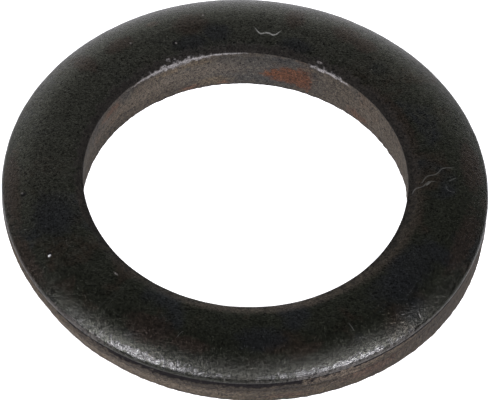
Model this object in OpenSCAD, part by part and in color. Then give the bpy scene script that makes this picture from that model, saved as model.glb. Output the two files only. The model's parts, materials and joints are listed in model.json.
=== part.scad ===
// Flat washer, blanked from thick plate: one solid ring of blackened steel.
// Blanking leaves a different edge on each side of the plate. The upper face rolls over at
// the rim and at the bore, a smooth sheared land follows, and the torn band below it drafts
// away to a crisp lower edge. The ring stands on its lower face, centred on the Z axis.

/* [Washer] */
// Bore diameter at its smooth land, the narrowest place
bore_d = 28; // [20:0.5:34]
// Outside diameter at the rim's smooth land, the widest place
outer_d = 42; // [35:0.5:60]
// Thickness between the upper and lower faces
thickness = 5; // [4:0.1:8]

/* [Rim] */
// Radial width of the rolled shoulder round the rim
rim_roll_w = 4.1; // [2.5:0.1:4.6]
// Depth of the rolled shoulder below the upper face
rim_roll_h = 1.7; // [1.4:0.1:2.2]
// Radius that blends the shoulder into the sheared land
rim_blend_r = 0.5; // [0.4:0.05:1.2]
// Height of the smooth sheared land
rim_land_h = 1.1; // [0.6:0.1:1.6]
// Radial draft of the torn band, inwards to the lower face
rim_draft = 0.5; // [0.2:0.05:1]

/* [Bore] */
// Radial width of the rolled shoulder round the bore
bore_roll_w = 1.8; // [1:0.1:2.4]
// Depth of the rolled shoulder below the upper face
bore_roll_h = 0.5; // [0.4:0.05:0.8]
// Radius that blends the shoulder into the sheared land
bore_blend_r = 0.25; // [0.1:0.05:0.3]
// Height of the smooth sheared land
bore_land_h = 2.5; // [1.6:0.1:2.9]
// Radial draft of the torn band, outwards to the lower face
bore_draft = 0.25; // [0.1:0.05:0.6]

/* [Faces] */
// Least width of the flat that stays between the two shoulders on a narrow ring
flat_min_w = 0.5; // [0.2:0.1:1.5]
// Width of the small break on both lower edges
edge_break = 0.1; // [0.05:0.05:0.25]

/* [Hidden] */

outer_r = outer_d / 2;
bore_r = bore_d / 2;
ring_w = outer_r - bore_r;

// A narrow ring leaves less room for its shoulders, so both shrink alike to fit.
roll_fit = min(1, (ring_w - flat_min_w) / (rim_roll_w + bore_roll_w));
rim_w = rim_roll_w * roll_fit;
bore_w = bore_roll_w * roll_fit;

// How far the cutting shapes reach past the surfaces that they cut
overcut = 1;

$fn = 180;

// Radius of the long arc of a rolled shoulder. It leaves the upper face level and meets the
// blend, of radius r, and the two together drop by h over a width w.
function roll_radius(w, h, r) = (pow(w - r, 2) / (h - r) + h + r) / 2;

// What a rolled shoulder takes off a square corner. The corner is at the origin, with the
// solid below it and to the left. The long arc ends and the blend starts on the line through
// their two centres, which leans from upright; a wedge beyond that line is cut to the blend.
module roll_cut(w, h, r) {
    roll_r = roll_radius(w, h, r);
    lean = 2 * atan2(h - r, w - r);
    reach = (h + overcut) * tan(lean);

    difference() {
        translate([-w, -h])
            square([w + overcut, h + overcut]);
        translate([-w, -roll_r])
            circle(roll_r);
    }
    difference() {
        polygon([[-r, -h], [reach - r, overcut], [reach + overcut, overcut], [reach + overcut, -h]]);
        translate([-r, -h])
            circle(r);
    }
}

// The ring's section with square upper corners: X is the radius and Y is the height.
module blank_section() {
    rim_land_y = thickness - rim_roll_h - rim_land_h;
    bore_land_y = thickness - bore_roll_h - bore_land_h;
    polygon([
        [bore_r, thickness],
        [outer_r, thickness],
        [outer_r, rim_land_y],
        [outer_r - rim_draft, edge_break],
        [outer_r - rim_draft - edge_break, 0],
        [bore_r + bore_draft + edge_break, 0],
        [bore_r + bore_draft, edge_break],
        [bore_r, bore_land_y]
    ]);
}

module washer_section() {
    difference() {
        blank_section();
        translate([outer_r, thickness])
            roll_cut(rim_w, rim_roll_h, rim_blend_r);
        translate([bore_r, thickness])
            mirror([1, 0])
                roll_cut(bore_w, bore_roll_h, bore_blend_r);
    }
}

module flat_washer() {
    color("#2b2927")
        rotate_extrude()
            washer_section();
}

flat_washer();
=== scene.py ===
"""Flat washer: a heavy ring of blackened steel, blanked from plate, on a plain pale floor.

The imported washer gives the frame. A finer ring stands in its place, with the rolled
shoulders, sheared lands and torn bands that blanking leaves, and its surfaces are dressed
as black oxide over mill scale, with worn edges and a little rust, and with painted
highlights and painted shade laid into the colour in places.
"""

import json
import logging
import math
from dataclasses import dataclass
from enum import Enum
from typing import Mapping, Sequence

import bmesh
import bpy
from mathutils import Matrix, Vector, noise

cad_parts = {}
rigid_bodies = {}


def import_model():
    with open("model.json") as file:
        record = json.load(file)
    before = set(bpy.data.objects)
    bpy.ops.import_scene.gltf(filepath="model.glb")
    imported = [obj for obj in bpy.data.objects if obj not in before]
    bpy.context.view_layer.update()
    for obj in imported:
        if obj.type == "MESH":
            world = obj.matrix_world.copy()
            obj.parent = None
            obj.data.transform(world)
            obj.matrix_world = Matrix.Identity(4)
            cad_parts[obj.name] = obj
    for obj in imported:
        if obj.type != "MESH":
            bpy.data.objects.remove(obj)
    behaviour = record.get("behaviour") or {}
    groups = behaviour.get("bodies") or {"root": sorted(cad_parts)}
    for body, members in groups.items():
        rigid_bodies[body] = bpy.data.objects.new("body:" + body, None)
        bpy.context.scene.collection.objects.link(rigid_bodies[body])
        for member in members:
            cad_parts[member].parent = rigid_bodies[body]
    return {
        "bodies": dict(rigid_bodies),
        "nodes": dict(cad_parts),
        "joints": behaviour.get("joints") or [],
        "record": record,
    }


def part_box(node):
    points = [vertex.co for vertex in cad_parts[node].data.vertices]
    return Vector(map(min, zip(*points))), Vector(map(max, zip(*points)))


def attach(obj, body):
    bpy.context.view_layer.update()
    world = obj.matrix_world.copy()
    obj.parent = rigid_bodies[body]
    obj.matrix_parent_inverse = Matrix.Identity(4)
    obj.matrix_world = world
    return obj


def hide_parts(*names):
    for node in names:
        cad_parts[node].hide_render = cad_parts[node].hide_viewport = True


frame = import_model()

log = logging.getLogger("washer")

MM = 0.001
NODE = "flat_washer"
BODY = "root"
FULL_TURN = 2 * math.pi
WHITE = (1.0, 1.0, 1.0)

Socket = bpy.types.NodeSocket
Colour = tuple[float, float, float]
Value = Socket | float | Colour


def placed(name: str, data: bpy.types.ID) -> bpy.types.Object:
    """Makes an object of a mesh, a light or a camera, and links it to the scene.

    Args:
        name: The object's name.
        data: What it shows.

    Returns:
        The object.
    """
    made = bpy.data.objects.new(name, data)
    bpy.context.scene.collection.objects.link(made)
    return made


# ---------------------------------------------------------------- the section and the ring


class Zone(Enum):
    """The regions of the washer, in the order of its material slots."""

    UPPER_FACE = 0
    RIM_WALL = 1
    BORE_WALL = 2
    UNDERSIDE = 3


@dataclass(frozen=True)
class Shoulder:
    """A rolled shoulder: an arc that leaves the upper face level, blended into the wall."""

    width: float
    depth: float
    blend: float

    @property
    def radius(self) -> float:
        """Radius of the arc, which touches the upper face and the blend."""
        inside = self.width - self.blend
        return (inside**2 / (self.depth - self.blend) + self.depth + self.blend) / 2

    @property
    def lean(self) -> float:
        """Angle from upright at which the arc meets the blend."""
        return 2 * math.atan2(self.depth - self.blend, self.width - self.blend)


class SectionPen:
    """Draws a section in the XZ plane, clockwise, out of lines and arcs."""

    def __init__(self, mesh: bmesh.types.BMesh, radius: float, height: float) -> None:
        """Puts the pen down in a mesh, at a distance from the washer's axis and a height."""
        self.mesh = mesh
        self.tip = bmesh.ops.create_vert(mesh, co=(radius, 0, height))["vert"][0]

    def line(self, radius: float, height: float, pitch: float) -> None:
        """Draws a straight line.

        Args:
            radius: Distance of the line's end from the axis.
            height: Height of the line's end.
            pitch: Longest step along the line.
        """
        start, end = self.tip.co.copy(), Vector((radius, 0, height))
        steps = math.ceil((end - start).length / pitch)
        for step in range(1, steps + 1):
            self.tip = bmesh.ops.extrude_vert_indiv(self.mesh, verts=[self.tip])["verts"][0]
            self.tip.co = start.lerp(end, step / steps)

    def arc(self, radius: float, height: float, turn: float, pitch: float) -> None:
        """Draws a round arc, clockwise.

        Args:
            radius: Distance of the arc's centre from the axis.
            height: Height of the arc's centre.
            turn: Angle of the arc.
            pitch: Longest step along the arc.
        """
        centre = Vector((radius, 0, height))
        steps = math.ceil((self.tip.co - centre).length * turn / pitch)
        made = bmesh.ops.spin(
            self.mesh, geom=[self.tip], cent=centre, axis=(0, 1, 0), angle=turn, steps=steps
        )
        self.tip = next(g for g in made["geom_last"] if isinstance(g, bmesh.types.BMVert))


@dataclass(frozen=True)
class Relief:
    """How the real metal departs from the drawn section. Lengths are in metres.

    The flat keeps a share of the shoulders' dimples, and the relief of the shoulders and of the
    torn bands sets in fast, over a fraction of their depth. A wall's drag lines are a share of
    its tears, drawn out along it.
    """

    lean_rim: tuple[float, float] = (0.45 * MM, 0.05 * MM)
    lean_bore: tuple[float, float] = (0.22 * MM, -0.12 * MM)
    wave: float = 0.018 * MM
    wave_size: float = 4.5 * MM
    dimple: float = 0.014 * MM
    dimple_size: float = 1.3 * MM
    flat_share: float = 0.25
    onset: float = 8
    grain: float = 0.005 * MM
    grain_size: float = 0.42 * MM
    tear: float = 0.05 * MM
    tear_size: float = 0.5 * MM
    tear_height: float = 1.6 * MM
    line_share: float = 0.2
    line_draw: float = 0.06
    groove: float = 0.04 * MM
    groove_width: float = 0.12 * MM
    roll_change: float = 0.15 * MM
    roll_high_at: float = 45
    chip: float = 0.1 * MM
    chip_size: float = 1.4 * MM
    chip_reach: float = 0.5 * MM
    chip_side: float = 85

    @staticmethod
    def swell(place: Vector, size: float) -> float:
        """Reads smooth noise, from -1 to 1, with features of the given size."""
        return noise.noise(place / size)

    def face(self, place: Vector, shoulder: float) -> float:
        """How far the upper face stands proud of the drawn one, below 0 on its flat.

        Args:
            place: A point of the face.
            shoulder: 0 on the flat of the face and 1 at the foot of a shoulder.

        Returns:
            The height.
        """
        coarse = self.wave * self.swell(place, self.wave_size)
        dimple = self.dimple * (self.flat_share + shoulder) * self.swell(place, self.dimple_size)
        fine = self.grain * self.swell(place, self.grain_size)
        sunk = self.wave + self.grain + self.dimple * self.flat_share
        return coarse + dimple + fine - sunk * (1 - min(1.0, self.onset * shoulder))

    def roll(self, place: Vector, share: float) -> float:
        """How far the rim's shoulder is raised on one side; share is 1 at its foot and 0 away from it."""
        turn = math.atan2(place.y, place.x) - math.radians(self.roll_high_at)
        return self.roll_change * share * math.cos(turn)

    def chips(self, place: Vector, lip: float) -> float:
        """How far the bore's lip, on its worn side, is chipped down or stands up between chips.

        Args:
            place: A point near the lip.
            lip: Height of the lip.

        Returns:
            The rise, below 0 in a chip.
        """
        turn = math.atan2(place.y, place.x) - math.radians(self.chip_side)
        share = max(0.0, 1 - abs(place.z - lip) / self.chip_reach) * max(0.0, math.cos(turn))
        return self.chip * share * self.swell(Vector((place.x, place.y, 0)), self.chip_size)

    def wall(self, place: Vector, torn: float, torn_from: float) -> float:
        """How far a wall stands proud of the drawn one, below 0 on its sheared land.

        Args:
            place: A point of the wall.
            torn: 0 on the sheared land and 1 on the torn band.
            torn_from: Height of the line between the two.

        Returns:
            The height.
        """
        upright = Vector((place.x, place.y, place.z * self.tear_size / self.tear_height))
        level = Vector((place.x * self.line_draw, place.y * self.line_draw, place.z))
        tears = self.tear * torn * self.swell(upright, self.tear_size)
        lines = self.line_share * self.tear * (self.swell(level, self.grain_size) + torn - 1)
        fine = self.grain * (self.swell(place, self.grain_size) + torn - 1)
        groove = self.groove * math.exp(-(((place.z - torn_from) / self.groove_width) ** 2))
        return tears + lines + fine - groove


@dataclass
class Washer:
    """The washer's one piece: its section, its ring and its finishes."""

    outer_radius: float
    bore_radius: float
    thickness: float
    rim: Shoulder = Shoulder(4.1 * MM, 1.7 * MM, 0.5 * MM)
    rim_land: float = 1.1 * MM
    rim_draft: float = 0.5 * MM
    bore: Shoulder = Shoulder(1.8 * MM, 0.5 * MM, 0.25 * MM)
    bore_land: float = 2.5 * MM
    bore_draft: float = 0.25 * MM
    edge_break: float = 0.1 * MM
    sectors: int = 24
    sector_steps: int = 30
    fine_pitch: float = 0.145 * MM
    blend_pitch: float = 0.06 * MM
    under_pitch: float = 0.5 * MM
    sharp_from: float = math.radians(35)
    relief: Relief = Relief()

    @classmethod
    def from_frame(cls, packed: dict) -> "Washer":
        """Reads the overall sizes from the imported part.

        Args:
            packed: What the frame's loader gave.

        Returns:
            A washer of that size.
        """
        _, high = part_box(NODE)
        bore = next(m for m in packed["record"]["mounts"] if m["name"] == "bore")
        return cls(high.x, bore["dims"]["r_mm"] * MM, high.z)

    @property
    def rim_torn_from(self) -> float:
        """Height at which the rim's sheared land ends and its torn band starts."""
        return self.thickness - self.rim.depth - self.rim_land

    @property
    def bore_torn_from(self) -> float:
        """Height at which the bore's sheared land ends and its torn band starts."""
        return self.thickness - self.bore.depth - self.bore_land

    @property
    def middle(self) -> float:
        """Radius half-way between the bore and the rim."""
        return (self.outer_radius + self.bore_radius) / 2

    def draw_section(self, mesh: bmesh.types.BMesh) -> None:
        """Draws the washer's section as a closed loop of edges.

        Args:
            mesh: The empty mesh to draw in.
        """
        top, outer, inner = self.thickness, self.outer_radius, self.bore_radius
        rim, bore, fine = self.rim, self.bore, self.fine_pitch
        upright = math.pi / 2
        pen = SectionPen(mesh, inner + bore.width, top)
        start = pen.tip
        pen.line(outer - rim.width, top, fine)
        pen.arc(outer - rim.width, top - rim.radius, rim.lean, fine)
        pen.arc(outer - rim.blend, top - rim.depth, upright - rim.lean, self.blend_pitch)
        pen.line(outer, self.rim_torn_from, fine)
        pen.line(outer - self.rim_draft, self.edge_break, fine)
        pen.line(outer - self.rim_draft - self.edge_break, 0, self.blend_pitch)
        pen.line(inner + self.bore_draft + self.edge_break, 0, self.under_pitch)
        pen.line(inner + self.bore_draft, self.edge_break, self.blend_pitch)
        pen.line(inner, self.bore_torn_from, fine)
        pen.line(inner, top - bore.depth, fine)
        pen.arc(inner + bore.blend, top - bore.depth, upright - bore.lean, self.blend_pitch)
        pen.arc(inner + bore.width, top - bore.radius, bore.lean, fine)
        bmesh.ops.weld_verts(mesh, targetmap={pen.tip: start})

    def zone_at(self, place: Vector) -> Zone:
        """Tells which region a point of the drawn ring lies in.

        Args:
            place: The point.

        Returns:
            Its zone.
        """
        outside = place.xy.length > self.middle
        foot = self.rim.depth if outside else self.bore.depth
        if place.z > self.thickness - foot:
            return Zone.UPPER_FACE
        if place.z < self.edge_break / 4:
            return Zone.UNDERSIDE
        return Zone.RIM_WALL if outside else Zone.BORE_WALL

    def worn(self, place: Vector, normal: Vector) -> Vector:
        """Moves a point of the drawn ring to where the real metal lies.

        Args:
            place: The point.
            normal: The drawn surface's outward normal there.

        Returns:
            The moved point.
        """
        radius = place.xy.length
        outside = radius > self.middle
        torn_from = self.rim_torn_from if outside else self.bore_torn_from
        torn = min(1.0, max(0.0, (torn_from - place.z) / torn_from))
        zone = self.zone_at(place)
        relief = self.relief
        if zone is Zone.UPPER_FACE:
            foot = self.rim.depth if outside else self.bore.depth
            height = relief.face(place, min(1.0, (self.thickness - place.z) / foot))
        elif zone is Zone.UNDERSIDE:
            height = 0.0
        else:
            height = relief.wall(place, min(1.0, torn * relief.onset), torn_from)
        moved = place + normal * height
        outward = (radius - self.bore_radius) / (self.outer_radius - self.bore_radius)
        outward = min(1.0, max(0.0, outward))
        lean = Vector(relief.lean_bore).lerp(Vector(relief.lean_rim), outward)
        moved.x += lean.x * torn
        moved.y += lean.y * torn
        if outside:
            foot = self.thickness - self.rim.depth
            above = (self.thickness - place.z) / self.rim.depth
            below = (place.z - self.rim_torn_from) / (foot - self.rim_torn_from)
            moved.z += relief.roll(place, max(0.0, min(above, below)))
        else:
            moved.z += relief.chips(place, self.thickness - self.bore.depth)
        moved.z = min(self.thickness, max(0.0, moved.z))
        reach = moved.xy.length
        moved.xy *= min(self.outer_radius, max(self.bore_radius, reach)) / reach
        return moved

    def build(self) -> bpy.types.Object:
        """Spins the section into the ring and works the metal's relief into it.

        Returns:
            The finished piece.
        """
        mesh = bmesh.new()
        self.draw_section(mesh)
        step = FULL_TURN / (self.sectors * self.sector_steps)
        axis = {"cent": (0, 0, 0), "axis": (0, 0, 1)}
        bmesh.ops.spin(
            mesh,
            geom=mesh.verts[:] + mesh.edges[:],
            angle=step * self.sector_steps,
            steps=self.sector_steps,
            **axis,
        )
        bmesh.ops.spin(
            mesh,
            geom=mesh.verts[:] + mesh.edges[:] + mesh.faces[:],
            angle=FULL_TURN - step * self.sector_steps,
            steps=self.sectors - 1,
            use_duplicate=True,
            **axis,
        )
        bmesh.ops.remove_doubles(mesh, verts=mesh.verts, dist=self.blend_pitch / 20)
        bmesh.ops.recalc_face_normals(mesh, faces=mesh.faces)
        mesh.normal_update()
        for face in mesh.faces:
            face.material_index = self.zone_at(face.calc_center_median()).value
            face.smooth = True
        for edge in mesh.edges:
            edge.smooth = edge.calc_face_angle() < self.sharp_from
        places = [self.worn(v.co, v.normal) for v in mesh.verts]
        for vert, place in zip(mesh.verts, places):
            vert.co = place
        data = bpy.data.meshes.new("washer_ring")
        mesh.to_mesh(data)
        mesh.free()
        return placed("washer_ring", data)

    def dress(self, piece: bpy.types.Object, effects: "Effects") -> None:
        """Gives each zone its finish.

        Args:
            piece: The built ring.
            effects: The shared shader effects.
        """
        finishes = {
            Zone.UPPER_FACE: UPPER_FINISH,
            Zone.RIM_WALL: RIM_FINISH,
            Zone.BORE_WALL: BORE_FINISH,
            Zone.UNDERSIDE: UNDER_FINISH,
        }
        for zone in Zone:
            piece.data.materials.append(finishes[zone].build(effects))


# ---------------------------------------------------------------- shader wiring


# Noise nodes keep to about 0.25 to 0.75, and this factor spreads that over -1 to 1.
NOISE_SPREAD = 4.0


class Graph:
    """Wires the nodes of one shader tree. Lengths in it are in millimetres."""

    def __init__(self, tree: bpy.types.NodeTree) -> None:
        """Takes the tree to wire: a material's, the world's or a group."""
        self.tree = tree

    def node(self, kind: str, **settings: str) -> bpy.types.Node:
        """Adds a node.

        Args:
            kind: Its type.
            settings: Properties to set on it.

        Returns:
            The node.
        """
        made = self.tree.nodes.new(kind)
        for name, value in settings.items():
            setattr(made, name, value)
        return made

    def feed(self, socket: Socket, value: Value) -> None:
        """Links a socket to another node's output, or sets it to a constant.

        Args:
            socket: The input to feed.
            value: What feeds it.
        """
        if isinstance(value, bpy.types.NodeSocket):
            self.tree.links.new(value, socket)
        elif socket.type == "RGBA":
            socket.default_value = (*value, 1)
        else:
            socket.default_value = value

    def fill(self, node: bpy.types.Node, values: Mapping[str, Value]) -> None:
        """Feeds some of a node's inputs, by name."""
        for name, value in values.items():
            self.feed(node.inputs[name], value)

    def calc(self, operation: str, *values: Value) -> Socket:
        """Does a sum on numbers.

        Args:
            operation: The Math node's operation.
            values: Its inputs.

        Returns:
            The result.
        """
        made = self.node("ShaderNodeMath", operation=operation)
        for socket, value in zip(made.inputs, values):
            self.feed(socket, value)
        return made.outputs[0]

    def ease(self, value: Value, start: Value, end: Value) -> Socket:
        """Rises smoothly from 0 to 1.

        Args:
            value: What is read.
            start: The value at which the result is 0.
            end: The value at which the result is 1.

        Returns:
            The result.
        """
        made = self.node("ShaderNodeMapRange", interpolation_type="SMOOTHSTEP")
        self.fill(made, {"Value": value, "From Min": start, "From Max": end})
        return made.outputs["Result"]

    def scaled(self, place: Socket, across: float, upward: float) -> Socket:
        """Scales a place, alike across and apart upwards, to draw a pattern out.

        Args:
            place: The place.
            across: Factor on X and Y.
            upward: Factor on Z.

        Returns:
            The scaled place.
        """
        made = self.node("ShaderNodeVectorMath", operation="MULTIPLY")
        self.feed(made.inputs[0], place)
        self.feed(made.inputs[1], (across, across, upward))
        return made.outputs[0]

    def noise(self, place: Socket, size: Value, detail: float = 2.0, swirl: float = 0.0) -> Socket:
        """Reads cloudy noise, from about -1 to 1.

        Args:
            place: Where to read it.
            size: Size of its features.
            detail: Octaves of finer noise on it.
            swirl: How far it is bent into itself.

        Returns:
            The noise.
        """
        made = self.node("ShaderNodeTexNoise")
        scale = self.calc("DIVIDE", 1.0, size)
        self.fill(made, {"Vector": place, "Scale": scale, "Detail": detail, "Distortion": swirl})
        return self.calc("MULTIPLY_ADD", made.outputs[0], NOISE_SPREAD, -NOISE_SPREAD / 2)

    def blend(self, factor: Value, under: Value, over: Value) -> Socket:
        """Lays one colour over another.

        Args:
            factor: 0 to see the colour under, 1 to see the one over it.
            under: The colour under.
            over: The colour over it.

        Returns:
            The blend.
        """
        made = self.node("ShaderNodeMix", data_type="RGBA")
        sockets = {socket.identifier: socket for socket in made.inputs}
        self.feed(sockets["Factor_Float"], factor)
        self.feed(sockets["A_Color"], under)
        self.feed(sockets["B_Color"], over)
        return next(socket for socket in made.outputs if socket.identifier == "Result_Color")

    def slide(self, factor: Value, low: Value, high: Value) -> Socket:
        """Slides a number from a low value, at factor 0, to a high one, at factor 1."""
        return self.calc("MULTIPLY_ADD", factor, self.calc("SUBTRACT", high, low), low)

    def tinted(self, colour: Value, strength: Value) -> Socket:
        """Brightens or darkens a colour.

        Args:
            colour: The colour.
            strength: The factor on it.

        Returns:
            The result.
        """
        made = self.node("ShaderNodeVectorMath", operation="SCALE")
        self.feed(made.inputs[0], colour)
        self.feed(made.inputs["Scale"], strength)
        return made.outputs[0]

    def strongest(self, masks: Sequence[Value]) -> Value:
        """Joins masks into the one that is strongest at each place.

        Args:
            masks: The masks.

        Returns:
            The joined mask.
        """
        joined = masks[0]
        for mask in masks[1:]:
            joined = self.calc("MAXIMUM", joined, mask)
        return joined

    def use(self, group: bpy.types.NodeTree, values: Mapping[str, Value]) -> Mapping[str, Socket]:
        """Places a shader effect.

        Args:
            group: The effect's group.
            values: What feeds each of its inputs, by name.

        Returns:
            Its outputs, by name.
        """
        made = self.node("ShaderNodeGroup")
        made.node_tree = group
        self.fill(made, values)
        return made.outputs


class EffectDraft:
    """A shader group in the making: its graph, its named inputs and its named outputs."""

    def __init__(self, name: str, inputs: Sequence[str], outputs: Sequence[str]) -> None:
        """Makes the group's sockets. Position is a vector and the rest are numbers.

        Args:
            name: The group's name.
            inputs: Names of its inputs.
            outputs: Names of its outputs.
        """
        self.tree = bpy.data.node_groups.new(name, "ShaderNodeTree")
        for side, labels in (("INPUT", inputs), ("OUTPUT", outputs)):
            for label in labels:
                kind = "NodeSocketVector" if label == "Position" else "NodeSocketFloat"
                self.tree.interface.new_socket(label, in_out=side, socket_type=kind)
        self.graph = Graph(self.tree)
        self.given = self.graph.node("NodeGroupInput").outputs
        self.result = self.graph.node("NodeGroupOutput").inputs

    def offsets(self) -> tuple[Socket, Socket]:
        """Measures from the centre given to the place given.

        Returns:
            How far the place lies along the ring and across it.
        """
        graph, given = self.graph, self.given
        turn = graph.calc("SUBTRACT", given["Azimuth"], given["Centre Azimuth"])
        turn = graph.calc("RADIANS", graph.calc("WRAP", turn, 180.0, -180.0))
        along = graph.calc("MULTIPLY", turn, given["Centre Radius"])
        return along, graph.calc("SUBTRACT", given["Radius"], given["Centre Radius"])

    def give(self, **results: Value) -> bpy.types.NodeTree:
        """Feeds the outputs, which finishes the group.

        Args:
            results: What feeds each of them, by name.

        Returns:
            The group.
        """
        for name, value in results.items():
            self.graph.feed(self.result[name], value)
        return self.tree


# Where a mask is 0 and where it is 1, in what it reads
SCRATCH_SIDE = (1.4, 0.4)
SCRATCH_END = (1.05, 0.75)
PIT_RANGE = (-0.35, -0.9)
TINT_RANGE = (0.1, 0.7)

# The marks of shearing. A stretch is the factors on a place, across and upwards.
TORN_WAVE = 2.5
TORN_WAVER = 0.25
TORN_BLUR = 0.1
LINE_SIZE = 0.6
LINE_STRETCH = (0.2, 3.0)
TEAR_SIZE = 0.35
TEAR_STRETCH = (1.0, 0.25)


@dataclass(frozen=True)
class Effects:
    """The shader effects that the finishes share, each one a node group built once."""

    ring_place: bpy.types.NodeTree
    spot: bpy.types.NodeTree
    scratch: bpy.types.NodeTree
    grain: bpy.types.NodeTree
    tints: bpy.types.NodeTree
    shear: bpy.types.NodeTree

    @classmethod
    def build(cls) -> "Effects":
        """Builds every effect."""
        return cls(
            cls.ring_place_group(),
            cls.spot_group(),
            cls.scratch_group(),
            cls.grain_group(),
            cls.tints_group(),
            cls.shear_group(),
        )

    @staticmethod
    def ring_place_group() -> bpy.types.NodeTree:
        """Where a place lies on the ring: its azimuth in degrees, radius and height.

        Returns:
            The effect.
        """
        draft = EffectDraft("ring_place", ["Position"], ["Azimuth", "Radius", "Height"])
        graph = draft.graph
        split = graph.node("ShaderNodeSeparateXYZ")
        graph.feed(split.inputs[0], draft.given["Position"])
        east, north, height = split.outputs
        reach = graph.calc(
            "SQRT", graph.calc("MULTIPLY_ADD", east, east, graph.calc("MULTIPLY", north, north))
        )
        azimuth = graph.calc("DEGREES", graph.calc("ARCTAN2", north, east))
        return draft.give(Azimuth=azimuth, Radius=reach, Height=height)

    @staticmethod
    def spot_group() -> bpy.types.NodeTree:
        """A mask over a round or drawn-out place, given by its centre and half sizes.

        Returns:
            The effect.
        """
        place = ["Azimuth", "Radius", "Height", "Ragged"]
        centre = ["Centre Azimuth", "Centre Radius", "Centre Height"]
        shape = ["Along", "Across", "Upward", "Softness"]
        draft = EffectDraft("spot", place + centre + shape, ["Mask"])
        graph, given = draft.graph, draft.given
        along, across = draft.offsets()
        upward = graph.calc("SUBTRACT", given["Height"], given["Centre Height"])
        away = graph.node("ShaderNodeCombineXYZ")
        for socket, offset, size in zip(away.inputs, (along, across, upward), shape):
            graph.feed(socket, graph.calc("DIVIDE", offset, given[size]))
        length = graph.node("ShaderNodeVectorMath", operation="LENGTH")
        graph.feed(length.inputs[0], away.outputs[0])
        distance = graph.calc("ADD", length.outputs["Value"], given["Ragged"])
        inner = graph.calc("SUBTRACT", 1.0, given["Softness"])
        outer = graph.calc("ADD", 1.0, given["Softness"])
        return draft.give(Mask=graph.ease(distance, outer, inner))

    @staticmethod
    def scratch_group() -> bpy.types.NodeTree:
        """A mask along a thin line, which may bow and wave about its heading.

        Returns:
            The effect.
        """
        place = ["Azimuth", "Radius", "Ragged", "Centre Azimuth", "Centre Radius", "Heading"]
        shape = ["Reach", "Bow", "Wave", "Pitch", "Width"]
        draft = EffectDraft("scratch", place + shape, ["Mask"])
        graph, given = draft.graph, draft.given
        along, across = draft.offsets()
        heading = graph.calc("RADIANS", given["Heading"])
        ahead, aside = graph.calc("COSINE", heading), graph.calc("SINE", heading)
        run = graph.calc("MULTIPLY_ADD", along, ahead, graph.calc("MULTIPLY", across, aside))
        side = graph.calc("MULTIPLY", along, aside)
        side = graph.calc("SUBTRACT", graph.calc("MULTIPLY", across, ahead), side)
        phase = graph.calc("MULTIPLY", graph.calc("DIVIDE", run, given["Pitch"]), FULL_TURN)
        wave = graph.calc("SUBTRACT", graph.calc("COSINE", phase), 1.0)
        line = graph.calc("MULTIPLY", graph.calc("MULTIPLY", run, run), given["Bow"])
        line = graph.calc("MULTIPLY_ADD", wave, given["Wave"], line)
        off = graph.calc("ABSOLUTE", graph.calc("SUBTRACT", side, line))
        off = graph.calc("ADD", graph.calc("DIVIDE", off, given["Width"]), given["Ragged"])
        end = graph.calc("DIVIDE", graph.calc("ABSOLUTE", run), given["Reach"])
        mask = graph.calc("MULTIPLY", graph.ease(off, *SCRATCH_SIDE), graph.ease(end, *SCRATCH_END))
        return draft.give(Mask=mask)

    @staticmethod
    def grain_group() -> bpy.types.NodeTree:
        """The scale's fine grain: wormy swells, and small pits sunk between them.

        Returns:
            The effect.
        """
        draft = EffectDraft("scale_grain", ["Position", "Size"], ["Grain", "Pits", "Ragged"])
        graph, given = draft.graph, draft.given
        place, size = given["Position"], given["Size"]
        grain = graph.noise(place, size, swirl=1.2)
        pits = graph.ease(graph.noise(place, graph.calc("MULTIPLY", size, 0.7), detail=1.0), *PIT_RANGE)
        ragged = graph.noise(place, graph.calc("MULTIPLY", size, 2.5), detail=3.0)
        return draft.give(Grain=grain, Pits=pits, Ragged=ragged)

    @staticmethod
    def tints_group() -> bpy.types.NodeTree:
        """Large soft patches where the black has a warm or a cool cast, or is thinner.

        Returns:
            The effect.
        """
        draft = EffectDraft("tints", ["Position", "Size"], ["Warm", "Cool", "Thin"])
        graph, given = draft.graph, draft.given
        place, size = given["Position"], given["Size"]
        first = graph.noise(place, size, swirl=0.6)
        second = graph.noise(graph.scaled(place, 1.0, -1.0), graph.calc("MULTIPLY", size, 1.3))
        third = graph.noise(place, graph.calc("MULTIPLY", size, 0.4), detail=3.0, swirl=0.8)
        return draft.give(
            Warm=graph.ease(first, *TINT_RANGE), Cool=graph.ease(second, *TINT_RANGE), Thin=third
        )

    @staticmethod
    def shear_group() -> bpy.types.NodeTree:
        """What the punch leaves on a wall: level drag lines, and upright tears low down.

        Returns:
            The effect.
        """
        draft = EffectDraft(
            "shear_marks", ["Position", "Height", "Torn From"], ["Lines", "Tears", "Torn"]
        )
        graph, given = draft.graph, draft.given
        place = given["Position"]
        bent = graph.noise(place, TORN_WAVE, detail=1.0)
        edge = graph.calc("MULTIPLY_ADD", bent, TORN_WAVER, given["Torn From"])
        start, full = (graph.calc(side, edge, TORN_BLUR) for side in ("ADD", "SUBTRACT"))
        torn = graph.ease(given["Height"], start, full)
        lines = graph.noise(graph.scaled(place, *LINE_STRETCH), LINE_SIZE, detail=3.0)
        tears = graph.noise(graph.scaled(place, *TEAR_STRETCH), TEAR_SIZE, detail=3.0, swirl=0.5)
        return draft.give(Lines=lines, Tears=tears, Torn=torn)


# ---------------------------------------------------------------- finishes


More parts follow.
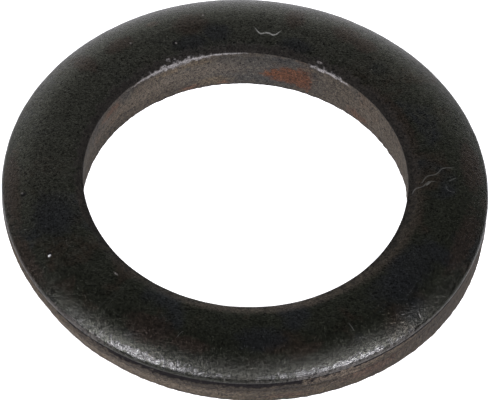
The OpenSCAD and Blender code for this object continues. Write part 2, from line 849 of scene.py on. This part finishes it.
@dataclass(frozen=True)
class Spot:
    """A place on the ring: its centre, and its half sizes along, across and upwards.

    Angles are in degrees and lengths in millimetres, here and in the finishes.
    """

    azimuth: float
    radius: float
    height: float
    along: float
    across: float
    upward: float = 2.0

    def mask(self, graph: Graph, group: bpy.types.NodeTree, at: Mapping[str, Value], soft: float) -> Socket:
        """Places the spot in a material.

        Args:
            graph: The material's graph.
            group: The spot effect.
            at: The place on the ring and the raggedness, by input name.
            soft: Softness of the spot's border.

        Returns:
            The mask.
        """
        shape = {
            "Centre Azimuth": self.azimuth,
            "Centre Radius": self.radius,
            "Centre Height": self.height,
            "Along": self.along,
            "Across": self.across,
            "Upward": self.upward,
            "Softness": soft,
        }
        return graph.use(group, {**at, **shape})["Mask"]


def on_rim(azimuth: float, height: float, along: float, upward: float = 2.0) -> Spot:
    """A spot on the rim's wall, right through its lean."""
    return Spot(azimuth, RIM_RADIUS, height, along, WALL_REACH, upward)


def on_bore(azimuth: float, height: float, along: float, upward: float = 2.0) -> Spot:
    """A spot on the bore's wall, right through its lean."""
    return Spot(azimuth, BORE_RADIUS, height, along, WALL_REACH, upward)


@dataclass(frozen=True)
class StainAndPaintedLight:
    """A change of colour or roughness over some spots. Some are real stains and wear, and some paint
    highlights or shade into the colour.
    """

    colour: Colour
    spots: tuple[Spot, ...]
    strength: float = 1.0
    soft: float = 0.4
    ragged: float = 0.4
    roughness: float | None = None


@dataclass(frozen=True)
class Scratch:
    """A thin bright line on a face."""

    azimuth: float
    radius: float
    heading: float
    reach: float
    bow: float = 0.0
    wave: float = 0.0
    pitch: float = 2.0
    width: float = 0.05
    strength: float = 0.5

    def mask(self, graph: Graph, group: bpy.types.NodeTree, at: Mapping[str, Value]) -> Socket:
        """Places the scratch in a material.

        Args:
            graph: The material's graph.
            group: The scratch effect.
            at: The place on the ring and the raggedness, by input name.

        Returns:
            The mask.
        """
        shape = {
            "Centre Azimuth": self.azimuth,
            "Centre Radius": self.radius,
            "Heading": self.heading,
            "Reach": self.reach,
            "Bow": self.bow,
            "Wave": self.wave,
            "Pitch": self.pitch,
            "Width": self.width,
        }
        return graph.calc("MULTIPLY", graph.use(group, {**at, **shape})["Mask"], self.strength)


@dataclass(frozen=True)
class ShearMarks:
    """How strong the punch's marks are on a wall, as bump heights and as shade."""

    torn_from: float
    line_depth: float
    tear_depth: float
    shade: float
    torn_colour: Colour


@dataclass(frozen=True)
class Finish:
    """A finish of one zone. Lengths are in millimetres."""

    name: str
    base: Colour
    warm: Colour
    cool: Colour
    roughness: float
    metallic: float
    ior: float
    tint_size: float
    grain_size: float
    grain_depth: float
    grain_shade: float
    thin_shade: float
    stains_and_painted_light: tuple[StainAndPaintedLight, ...] = ()
    scratches: tuple[Scratch, ...] = ()
    scratch_colour: Colour = (0.3, 0.3, 0.28)
    scratch_ragged: float = 0.5
    scratch_roughness: float = 0.6
    darkest: float = 0.1
    thin_roughness: float = 0.04
    shear: ShearMarks | None = None

    def build(self, effects: Effects) -> bpy.types.Material:
        """Makes the finish's material.

        Args:
            effects: The shared shader effects.

        Returns:
            The material.
        """
        material = bpy.data.materials.new(self.name)
        material.use_nodes = True
        graph = Graph(material.node_tree)
        shader = material.node_tree.nodes["Principled BSDF"]
        object_place = graph.node("ShaderNodeTexCoord").outputs["Object"]
        place = graph.scaled(object_place, 1 / MM, 1 / MM)
        ring = graph.use(effects.ring_place, {"Position": place})
        grain = graph.use(effects.grain, {"Position": place, "Size": self.grain_size})
        tints = graph.use(effects.tints, {"Position": place, "Size": self.tint_size})

        colour = graph.blend(tints["Warm"], self.base, self.warm)
        colour = graph.blend(tints["Cool"], colour, self.cool)
        height = graph.calc("MULTIPLY", grain["Grain"], self.grain_depth)
        height = graph.calc("MULTIPLY_ADD", grain["Pits"], -self.grain_depth, height)
        shade = graph.calc("MULTIPLY", grain["Grain"], self.grain_shade)
        shade = graph.calc("MULTIPLY_ADD", tints["Thin"], self.thin_shade, shade)
        if self.shear:
            marks = graph.use(
                effects.shear,
                {"Position": place, "Height": ring["Height"], "Torn From": self.shear.torn_from},
            )
            colour = graph.blend(marks["Torn"], colour, self.shear.torn_colour)
            lines = graph.calc("MULTIPLY", marks["Lines"], self.shear.line_depth)
            tears = graph.calc("MULTIPLY", marks["Tears"], self.shear.tear_depth)
            height = graph.calc("ADD", height, graph.slide(marks["Torn"], lines, tears))
            shade = graph.calc("MULTIPLY_ADD", marks["Lines"], self.shear.shade, shade)
        shade = graph.calc("MAXIMUM", graph.calc("ADD", shade, 1.0), self.darkest)
        colour = graph.tinted(colour, shade)
        rough = graph.calc("MULTIPLY_ADD", tints["Thin"], self.thin_roughness, self.roughness)

        # Real stains and wear, and painted highlights and painted shade, laid over the colour
        for stain_or_light in self.stains_and_painted_light:
            at = {name: ring[name] for name in ("Azimuth", "Radius", "Height")}
            at["Ragged"] = graph.calc("MULTIPLY", grain["Ragged"], stain_or_light.ragged)
            masks = [spot.mask(graph, effects.spot, at, stain_or_light.soft) for spot in stain_or_light.spots]
            mask = graph.calc("MULTIPLY", graph.strongest(masks), stain_or_light.strength)
            speckle = graph.calc("MULTIPLY_ADD", grain["Grain"], self.grain_shade, 1.0)
            colour = graph.blend(mask, colour, graph.tinted(stain_or_light.colour, speckle))
            if stain_or_light.roughness is not None:
                rough = graph.slide(mask, rough, stain_or_light.roughness)
        if self.scratches:
            at = {name: ring[name] for name in ("Azimuth", "Radius")}
            at["Ragged"] = graph.calc("MULTIPLY", grain["Grain"], self.scratch_ragged)
            masks = [mark.mask(graph, effects.scratch, at) for mark in self.scratches]
            mask = graph.strongest(masks)
            colour = graph.blend(mask, colour, self.scratch_colour)
            rough = graph.slide(mask, rough, self.scratch_roughness)

        bump = graph.node("ShaderNodeBump")
        graph.fill(bump, {"Height": height, "Distance": MM})
        graph.fill(shader, {"Base Color": colour, "Roughness": rough, "Metallic": self.metallic})
        graph.fill(shader, {"IOR": self.ior, "Normal": bump.outputs["Normal"]})
        return material


# Where the walls stand, how far a spot on one reaches through its lean, and a half size so
# long that the spot goes all round the ring
RIM_RADIUS = 21.0
BORE_RADIUS = 14.0
WALL_REACH = 1.0
ALL_ROUND = 10_000.0

BRIGHT_STEEL_GLINT: Colour = (0.25, 0.24, 0.23)
# Black for the painted shade lines
PAINTED_SHADE_BLACK: Colour = (0.006, 0.005, 0.005)
RUST: Colour = (0.07, 0.028, 0.0125)

# Bright steel on the bore's far lip, partly worn metal and partly a painted highlight, placed where the
# softboxes' highlights fall
LIP_WEAR_AND_GLINT = StainAndPaintedLight(
    colour=BRIGHT_STEEL_GLINT,
    spots=(
        Spot(120, 14.05, 4.34, 2.2, 0.5, 0.3), Spot(112, 14.05, 4.4, 2.4, 0.5, 0.18),
        Spot(103, 14.05, 4.43, 2.0, 0.5, 0.1), Spot(128, 14.05, 4.33, 1.4, 0.5, 0.16),
        Spot(62, 14.05, 4.36, 1.2, 0.5, 0.2), Spot(57, 14.05, 4.3, 1.0, 0.5, 0.11),
    ),
    strength=0.8, soft=0.55, ragged=1.0, roughness=0.5,
)
# Painted shade: a black line along the near half of the bore's lip
NEAR_LIP_SHADE = StainAndPaintedLight(
    colour=PAINTED_SHADE_BLACK, spots=(Spot(270, 14.0, 4.5, 22.0, 0.12, 0.1),), strength=0.9, ragged=0.2,
    roughness=0.8,
)

OIL_FILM = StainAndPaintedLight(
    colour=(0.044, 0.045, 0.0358), spots=(Spot(118, 17.5, 4.8, 26.0, 4.5, 4.0),), strength=0.9,
    soft=0.45, ragged=0.4,
)
# Evens the near shoulder's tint to neutral grey so its highlights stay white, and lightens it there as
# painted light
NEAR_SHOULDER_NEUTRAL_AND_LIT = StainAndPaintedLight(
    colour=(0.0294, 0.03, 0.0242), spots=(Spot(271, 20.6, 4.0, 24.0, 1.2),), strength=0.85,
    soft=0.5, ragged=0.3,
)
# Painted highlight: brighter metal along the near shoulder's crest, where the side softboxes' highlights
# fall, so they glint
PAINTED_SPARKLE = StainAndPaintedLight(
    colour=(0.07, 0.07, 0.067),
    spots=(
        Spot(249, 20.75, 3.78, 4.2, 0.6, 0.26), Spot(257, 20.8, 3.7, 2.6, 0.6, 0.22),
        Spot(295, 20.85, 3.68, 5.5, 0.6, 0.2),
    ),
    strength=0.75, soft=0.35, ragged=1.1,
)
BROWN_TINTS = StainAndPaintedLight(
    colour=(0.036, 0.0275, 0.0215),
    spots=(
        Spot(247, 18.4, 4.8, 2.2, 1.2), Spot(258, 18.7, 4.6, 1.7, 0.6),
        Spot(131, 18.1, 4.8, 1.4, 0.8), Spot(142, 18.6, 4.8, 0.9, 1.4),
        Spot(109, 17.5, 4.9, 1.5, 1.3), Spot(79, 18.4, 4.8, 0.9, 1.3),
        Spot(64, 18.5, 4.8, 1.3, 1.0), Spot(58, 18.3, 4.8, 1.2, 0.9),
        Spot(187, 20.2, 4.2, 4.0, 0.7), Spot(208, 20.6, 3.9, 3.0, 0.6),
        Spot(8, 19.6, 4.4, 2.6, 0.9), Spot(344, 19.7, 4.4, 3.4, 0.8), Spot(28, 14.8, 4.8, 4.0, 0.7),
    ),
    strength=0.85, soft=0.35, ragged=0.3,
)
# Brown tints round the bore's edge; the two on its near half, at 318° and 338°, also paint the lighter
# sheen that this edge reflects
BORE_EDGE_TINTS_AND_SHEEN = StainAndPaintedLight(
    colour=(0.06, 0.047, 0.037),
    spots=(
        Spot(338, 14.6, 4.7, 7.0, 0.9), Spot(318, 14.4, 4.7, 20.0, 0.6),
        Spot(197, 14.4, 4.7, 2.4, 0.35), Spot(119, 18.8, 4.8, 0.6, 0.3),
    ),
    strength=0.7, soft=0.5, ragged=0.2,
)
BLUE_TINTS = StainAndPaintedLight(
    colour=(0.021, 0.0225, 0.0245),
    spots=(
        Spot(111, 15.4, 5.0, 1.6, 0.8), Spot(102, 16.1, 5.0, 1.2, 1.0),
        Spot(76, 15.2, 5.0, 1.4, 0.8), Spot(277, 17.6, 4.9, 2.2, 1.1),
        Spot(325, 17.1, 5.0, 4.0, 1.6), Spot(200, 17.2, 5.0, 2.2, 1.6),
    ),
    strength=0.8, soft=0.4, ragged=0.25,
)
# Painted shadow: black rings beside three specks
SPECK_SHADOWS = StainAndPaintedLight(
    colour=(0.004, 0.004, 0.004),
    spots=(
        Spot(211.0, 18.88, 4.8, 0.2, 0.22), Spot(190.2, 19.2, 4.6, 0.25, 0.25),
        Spot(116.2, 15.8, 5.0, 0.25, 0.25),
    ),
    ragged=0.2, roughness=0.6,
)
DULL_LIP = StainAndPaintedLight(
    colour=(0.02, 0.018, 0.015),
    spots=(
        Spot(34, 14.1, 4.6, 24.0, 0.8, 0.6), Spot(79, 14.1, 4.6, 15.0, 0.8, 0.6),
        Spot(152, 14.1, 4.6, 22.0, 0.8, 0.6),
    ),
    soft=0.5, ragged=0.5, roughness=0.8,
)
# Painted highlight: pale colour on the shoulder's blend at 228° and 299°, where it faces the dark studio
# and would show dark
LIT_BLEND_PAINT = StainAndPaintedLight(
    colour=(0.13, 0.12, 0.11),
    spots=(Spot(299, 20.95, 3.42, 7.0, 0.6, 0.16), Spot(228, 20.95, 3.36, 4.0, 0.6, 0.18)),
    strength=0.55, soft=0.7, ragged=0.6, roughness=0.6,
)
WHITE_SPECK = StainAndPaintedLight(
    colour=(0.75, 0.75, 0.73), spots=(Spot(211.4, 18.96, 4.8, 0.12, 0.11),), soft=0.5, ragged=0.1,
    roughness=0.7,
)
PALE_SPECKS = StainAndPaintedLight(
    colour=(0.16, 0.15, 0.14),
    spots=(
        Spot(189.8, 19.32, 4.6, 0.1, 0.1), Spot(104.7, 18.35, 4.8, 0.1, 0.1),
        Spot(127.8, 17.64, 4.9, 0.1, 0.1), Spot(115.7, 15.77, 5.0, 0.1, 0.1),
        Spot(66.0, 14.4, 4.8, 0.25, 0.1), Spot(73.5, 19.2, 4.7, 0.12, 0.1),
        Spot(228.0, 15.6, 5.0, 0.22, 0.08),
    ),
    soft=0.5, ragged=0.2, roughness=0.6,
)

UPPER_FINISH = Finish(
    name="upper_face", base=(0.022, 0.024, 0.0168), warm=(0.031, 0.025, 0.018),
    cool=(0.0215, 0.0236, 0.0245), roughness=0.23, metallic=0.85, ior=1.5, tint_size=3.2,
    grain_size=0.17, grain_depth=0.008, grain_shade=1.15, thin_shade=0.15,
    stains_and_painted_light=(
        OIL_FILM, NEAR_SHOULDER_NEUTRAL_AND_LIT, PAINTED_SPARKLE, BROWN_TINTS, BORE_EDGE_TINTS_AND_SHEEN, BLUE_TINTS, SPECK_SHADOWS, DULL_LIP,
        LIT_BLEND_PAINT, LIP_WEAR_AND_GLINT, NEAR_LIP_SHADE, WHITE_SPECK, PALE_SPECKS,
    ),
    scratches=(
        Scratch(86.0, 16.1, 0, 1.2, bow=0.36, wave=0.14, pitch=1.3, width=0.09, strength=1.0),
        Scratch(4.4, 16.4, 58, 1.8, bow=0.08, wave=0.12, pitch=1.7, width=0.06, strength=0.32),
        Scratch(359.4, 15.25, 54, 1.3, bow=0.15, wave=0.1, pitch=1.4, width=0.06, strength=0.32),
        Scratch(0.6, 15.7, 40, 0.3, width=0.08, strength=0.5),
        Scratch(358.7, 17.4, 134, 0.58, bow=-1.1, strength=0.2),
        Scratch(2.6, 17.8, 56, 0.4, strength=0.25),
        Scratch(301.7, 18.3, 88, 0.42, bow=0.3, strength=0.25),
        Scratch(317.1, 19.64, 21, 0.84, bow=0.1, strength=0.12),
        Scratch(319.1, 20.3, 116, 0.33, strength=0.2),
        Scratch(303.7, 19.6, 32, 1.0, bow=0.3, strength=0.1),
        Scratch(210.9, 17.2, -8, 0.55, bow=-1.3, strength=0.12),
        Scratch(254.8, 18.06, -66, 0.43, bow=0.5, strength=0.15),
        Scratch(232.4, 18.05, -88, 1.2, strength=0.06),
        Scratch(233.4, 17.1, -94, 2.4, bow=0.01, strength=0.05),
    ),
)

UNDER_EDGES = StainAndPaintedLight(
    colour=(0.12, 0.11, 0.1),
    spots=(Spot(0, 20.4, 0, ALL_ROUND, 0.12, 0.3), Spot(0, 14.35, 0, ALL_ROUND, 0.12, 0.3)),
    strength=0.7, ragged=0.6, roughness=0.4,
)
UNDER_RUST = StainAndPaintedLight(colour=RUST, spots=(Spot(70, 15.2, 0, 2.0, 0.9, 1.0),), strength=0.7, ragged=0.8)

UNDER_FINISH = Finish(
    name="underside", base=(0.025, 0.026, 0.021), warm=(0.037, 0.029, 0.024),
    cool=(0.026, 0.0265, 0.0275), roughness=0.4, metallic=0.85, ior=1.5, tint_size=4.0,
    grain_size=0.18, grain_depth=0.007, grain_shade=0.4, thin_shade=0.2,
    stains_and_painted_light=(UNDER_EDGES, UNDER_RUST),
    scratches=(
        Scratch(40, 17.5, 20, 3.5, bow=0.03, strength=0.3),
        Scratch(130, 16.5, -35, 2.5, bow=-0.05, strength=0.25),
        Scratch(235, 18.2, 75, 1.8, bow=0.05, strength=0.35),
        Scratch(310, 17.0, 10, 4.0, bow=0.02, strength=0.25),
    ),
)

# Painted light: the rim's wall lightened where the left softbox falls on it
LIT_WALL_BAND = StainAndPaintedLight(
    colour=(0.096, 0.076, 0.053), spots=(on_rim(236, 1.4, 11.0, 1.8),), strength=0.9, soft=0.7,
    ragged=0.5,
)
SHADED_BAND = StainAndPaintedLight(
    colour=(0.028, 0.0225, 0.0175), spots=(on_rim(322, 1.8, 11.0),), strength=0.6, soft=0.8,
    ragged=0.5,
)
# Painted shade: the rim's wall darkened at 254° and 276°, between the two side softboxes
DIM_WALL_SHADE = StainAndPaintedLight(
    colour=(0.024, 0.0205, 0.0165), spots=(on_rim(254, 2.6, 11.0, 0.7), on_rim(276, 2.6, 9.0, 0.6)),
    strength=0.7, ragged=0.5,
)
# Two pale patches of the wall's own colour at 291° and 297°, and at 300° the wall's top lightened as
# painted light under the shoulder's highlight
PALE_AND_LIT_PATCHES = StainAndPaintedLight(
    colour=(0.096, 0.076, 0.055),
    spots=(on_rim(291, 2.8, 1.8, 0.35), on_rim(297, 2.4, 1.4, 0.3), on_rim(300, 3.1, 5.0, 0.4)),
    strength=0.8, soft=0.7, ragged=0.5,
)
RIM_RUST = StainAndPaintedLight(
    colour=(0.065, 0.036, 0.024), spots=(on_rim(303, 1.6, 3.0, 0.6), on_rim(284, 1.0, 2.0, 0.4)),
    strength=0.5, soft=0.7, ragged=0.6,
)
# Painted shade: a ragged black line at the top of the rim's wall, under the shoulder's highlight, with no
# sheen
RIM_SHADE_LINE = StainAndPaintedLight(
    colour=PAINTED_SHADE_BLACK,
    spots=(
        on_rim(254, 3.15, 13.0, 0.25), on_rim(246, 3.05, 4.0, 0.35), on_rim(259, 2.98, 5.0, 0.36),
        on_rim(274, 3.05, 5.5, 0.36), on_rim(312, 3.2, 8.0, 0.14),
    ),
    strength=1.0, soft=0.35, ragged=0.8, roughness=1.0,
)
# Painted shade: dark lines along the wall's groove, and a dark ring at its foot by the floor
GROOVE_AND_FOOT_SHADE = StainAndPaintedLight(
    colour=(0.012, 0.01, 0.009),
    spots=(
        on_rim(286, 2.2, 16.0, 0.05), on_rim(258, 1.8, 6.0, 0.04),
        Spot(0, 20.6, 0.0, ALL_ROUND, 1.0, 0.14),
    ),
    strength=0.85, soft=0.6, ragged=0.25,
)

RIM_FINISH = Finish(
    name="rim_wall", base=(0.038, 0.0302, 0.0183), warm=(0.051, 0.0365, 0.0207),
    cool=(0.032, 0.0292, 0.0213), roughness=0.75, metallic=0.0, ior=1.25, tint_size=2.6,
    grain_size=0.2, grain_depth=0.012, grain_shade=1.2, thin_shade=0.3,
    shear=ShearMarks(
        torn_from=2.2, line_depth=0.02, tear_depth=0.04, shade=0.5,
        torn_colour=(0.048, 0.038, 0.0243),
    ),
    stains_and_painted_light=(LIT_WALL_BAND, SHADED_BAND, DIM_WALL_SHADE, PALE_AND_LIT_PATCHES, RIM_RUST, RIM_SHADE_LINE, GROOVE_AND_FOOT_SHADE),
)

BLUE_PATCHES = StainAndPaintedLight(
    colour=(0.0295, 0.0298, 0.027),
    spots=(
        on_bore(90, 2.0, 6.0), on_bore(87, 2.8, 0.9, 0.9), on_bore(91, 1.7, 0.8, 0.7),
        on_bore(114, 3.3, 0.5, 0.5), on_bore(78, 4.0, 2.2, 0.5),
    ),
    strength=0.85, soft=0.6, ragged=0.4,
)
PALE_ENDS = StainAndPaintedLight(
    colour=(0.092, 0.076, 0.056), spots=(on_bore(28, 2.0, 7.0, 3.0), on_bore(122, 2.4, 8.0, 1.0)),
    strength=0.6, soft=0.8, ragged=0.5,
)
YELLOW_PATCHES = StainAndPaintedLight(
    colour=(0.09, 0.068, 0.041),
    spots=(on_bore(104, 0.9, 1.6, 0.5), on_bore(122, 3.6, 1.2, 0.4), on_bore(112, 3.7, 1.6, 0.4)),
    strength=0.6, soft=0.6, ragged=0.5,
)
BORE_RUST = StainAndPaintedLight(
    colour=RUST,
    spots=(
        on_bore(79.0, 1.9, 1.5, 0.85), on_bore(75.0, 2.1, 1.6, 1.0), on_bore(71.7, 2.0, 0.9, 1.4),
        on_bore(83.0, 1.9, 0.9, 0.32),
    ),
    strength=0.95, soft=0.3, ragged=0.45,
)
RUST_SPOTS = StainAndPaintedLight(
    colour=(0.098, 0.045, 0.025),
    spots=(
        on_bore(48, 1.0, 1.0, 0.6), on_bore(113, 0.5, 0.7, 0.3), on_bore(150, 3.6, 1.0, 0.4),
        on_bore(100, 0.5, 0.5, 0.2),
    ),
    strength=0.55, soft=0.6, ragged=0.6,
)
DARK_SPOTS = StainAndPaintedLight(
    colour=(0.02, 0.018, 0.017), spots=(on_bore(66.7, 3.3, 0.22, 0.5), on_bore(80, 4.0, 0.3, 0.3)),
    strength=0.7, soft=0.6, ragged=0.5,
)
# Painted shade: a dark ring at the bore wall's foot by the floor
BORE_FOOT_SHADE = StainAndPaintedLight(
    colour=(0.012, 0.01, 0.009), spots=(Spot(0, 14.25, 0.0, ALL_ROUND, 1.0, 0.16),), strength=0.9,
    soft=0.6, ragged=0.2,
)

BORE_FINISH = Finish(
    name="bore_wall", base=(0.0475, 0.0398, 0.0285), warm=(0.0585, 0.0415, 0.0272),
    cool=(0.042, 0.0388, 0.0322), roughness=0.8, metallic=0.0, ior=1.3, tint_size=2.2,
    grain_size=0.18, grain_depth=0.009, grain_shade=1.15, thin_shade=0.24,
    shear=ShearMarks(
        torn_from=1.9, line_depth=0.012, tear_depth=0.025, shade=0.34,
        torn_colour=(0.0435, 0.0355, 0.0255),
    ),
    stains_and_painted_light=(
        BLUE_PATCHES, PALE_ENDS, YELLOW_PATCHES, BORE_RUST, RUST_SPOTS, DARK_SPOTS, LIP_WEAR_AND_GLINT,
        NEAR_LIP_SHADE, BORE_FOOT_SHADE,
    ),
)


# ---------------------------------------------------------------- the studio


@dataclass(frozen=True)
class ViewPoint:
    """Where the camera stands, given from the point near the axis that it looks at."""

    aim: tuple[float, float, float] = (-0.035 * MM, 0.0, 1.336 * MM)
    distance: float = 380.87 * MM
    elevation: float = 51.732
    roll: float = 3.504
    lens: float = 324.3
    sensor: float = 36.0
    nearest: float = 10 * MM

    def build(self) -> bpy.types.Object:
        """Makes the camera.

        Returns:
            The camera, set as the scene's own.
        """
        data = bpy.data.cameras.new("camera")
        data.lens = self.lens
        data.sensor_width = self.sensor
        data.sensor_fit = "HORIZONTAL"
        data.clip_start = self.nearest
        camera = placed("camera", data)
        tilt = Matrix.Rotation(math.radians(90 - self.elevation), 4, "X")
        turn = Matrix.Rotation(math.radians(self.roll), 4, "Z")
        back = Matrix.Translation((0, 0, self.distance))
        camera.matrix_world = Matrix.Translation(self.aim) @ tilt @ back @ turn
        bpy.context.scene.camera = camera
        return camera


@dataclass(frozen=True)
class Softbox:
    """A rectangular soft light that faces the washer."""

    name: str
    azimuth: float
    elevation: float
    width: float
    height: float
    radiance: float
    distance: float = 0.5
    colour: Colour = (1.0, 0.975, 1.08)

    def build(self) -> bpy.types.Object:
        """Makes the light. The camera can't see it, and reflections can.

        Returns:
            The light.
        """
        data = bpy.data.lights.new(self.name, "AREA")
        data.shape = "RECTANGLE"
        data.size = self.width
        data.size_y = self.height
        data.color = self.colour
        data.energy = self.radiance * math.pi * self.width * self.height
        light = placed(self.name, data)
        around = Matrix.Rotation(math.radians(self.azimuth + 90), 4, "Z")
        tilt = Matrix.Rotation(math.radians(90 - self.elevation), 4, "X")
        light.matrix_world = around @ tilt @ Matrix.Translation((0, 0, self.distance))
        light.visible_camera = False
        return light


@dataclass(frozen=True)
class Floor:
    """The plain pale floor, a hair under the washer. It looks whiter than the light it casts."""

    half_size: float = 3.0
    gap: float = 0.02 * MM
    colour: Colour = (0.8, 0.8, 0.8)
    roughness: float = 0.8
    glow_seen: float = 1.0
    glow_cast: float = 0.26

    def build(self) -> bpy.types.Object:
        """Makes the floor.

        Returns:
            The floor.
        """
        mesh = bmesh.new()
        below = Matrix.Translation((0, 0, -self.gap))
        bmesh.ops.create_grid(mesh, x_segments=1, y_segments=1, size=self.half_size, matrix=below)
        data = bpy.data.meshes.new("floor")
        mesh.to_mesh(data)
        mesh.free()
        floor = placed("floor", data)
        material = bpy.data.materials.new("floor")
        material.use_nodes = True
        graph = Graph(material.node_tree)
        shader = material.node_tree.nodes["Principled BSDF"]
        graph.fill(shader, {"Base Color": self.colour, "Roughness": self.roughness})
        graph.feed(shader.inputs["Emission Color"], WHITE)
        seen = graph.node("ShaderNodeLightPath").outputs["Is Camera Ray"]
        graph.feed(
            shader.inputs["Emission Strength"], graph.slide(seen, self.glow_cast, self.glow_seen)
        )
        data.materials.append(material)
        return floor


@dataclass(frozen=True)
class Backdrop:
    """The studio round the washer: dim, with a broad soft glow low down behind it."""

    dim: float = 0.15
    glow: float = 0.88
    glow_top: float = 52
    glow_full: float = 18
    glow_side: float = 80
    glow_middle: float = 15
    glow_turn: float = 15

    def build(self) -> None:
        """Makes the world. The camera itself sees it white."""
        world = bpy.data.worlds.new("studio")
        bpy.context.scene.world = world
        world.use_nodes = True
        graph = Graph(world.node_tree)
        split = graph.node("ShaderNodeSeparateXYZ")
        graph.feed(split.inputs[0], graph.node("ShaderNodeTexCoord").outputs["Generated"])
        east, north, up = split.outputs
        top, full = (math.sin(math.radians(angle)) for angle in (self.glow_top, self.glow_full))
        turn = graph.calc("ADD", graph.calc("ARCTAN2", east, north), math.radians(self.glow_turn))
        turn = graph.calc("ABSOLUTE", graph.calc("WRAP", turn, math.pi, -math.pi))
        side, middle = math.radians(self.glow_side), math.radians(self.glow_middle)
        glow = graph.calc("MULTIPLY", graph.ease(up, top, full), graph.ease(turn, side, middle))
        level = graph.calc("MULTIPLY_ADD", glow, self.glow, self.dim)
        seen = graph.node("ShaderNodeLightPath").outputs["Is Camera Ray"]
        background = world.node_tree.nodes["Background"]
        graph.feed(background.inputs["Color"], WHITE)
        graph.feed(background.inputs["Strength"], graph.calc("MAXIMUM", level, seen))


SOFTBOXES = (
    Softbox("left_softbox", 224, 41, 0.24, 0.08, 30.0),
    Softbox("right_softbox", 321, 41, 0.26, 0.08, 31.0),
    Softbox("front_softbox", 270, 49, 0.2, 0.07, 8.0),
)


def main() -> None:
    """Builds the washer and its studio, and reports each piece."""
    logging.basicConfig(level=logging.INFO, format="%(name)s: %(message)s")
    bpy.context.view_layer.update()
    washer = Washer.from_frame(frame)
    piece = washer.build()
    washer.dress(piece, Effects.build())
    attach(piece, BODY)
    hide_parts(NODE)
    log.info("%s: %d faces, %d finishes", piece.name, len(piece.data.polygons), len(Zone))

    ViewPoint().build()
    for softbox in SOFTBOXES:
        log.info("%s", softbox.build().name)
    log.info("%s", Floor().build().name)
    Backdrop().build()
    bpy.context.scene.view_settings.view_transform = "Standard"


if __name__ == "__main__":
    main()
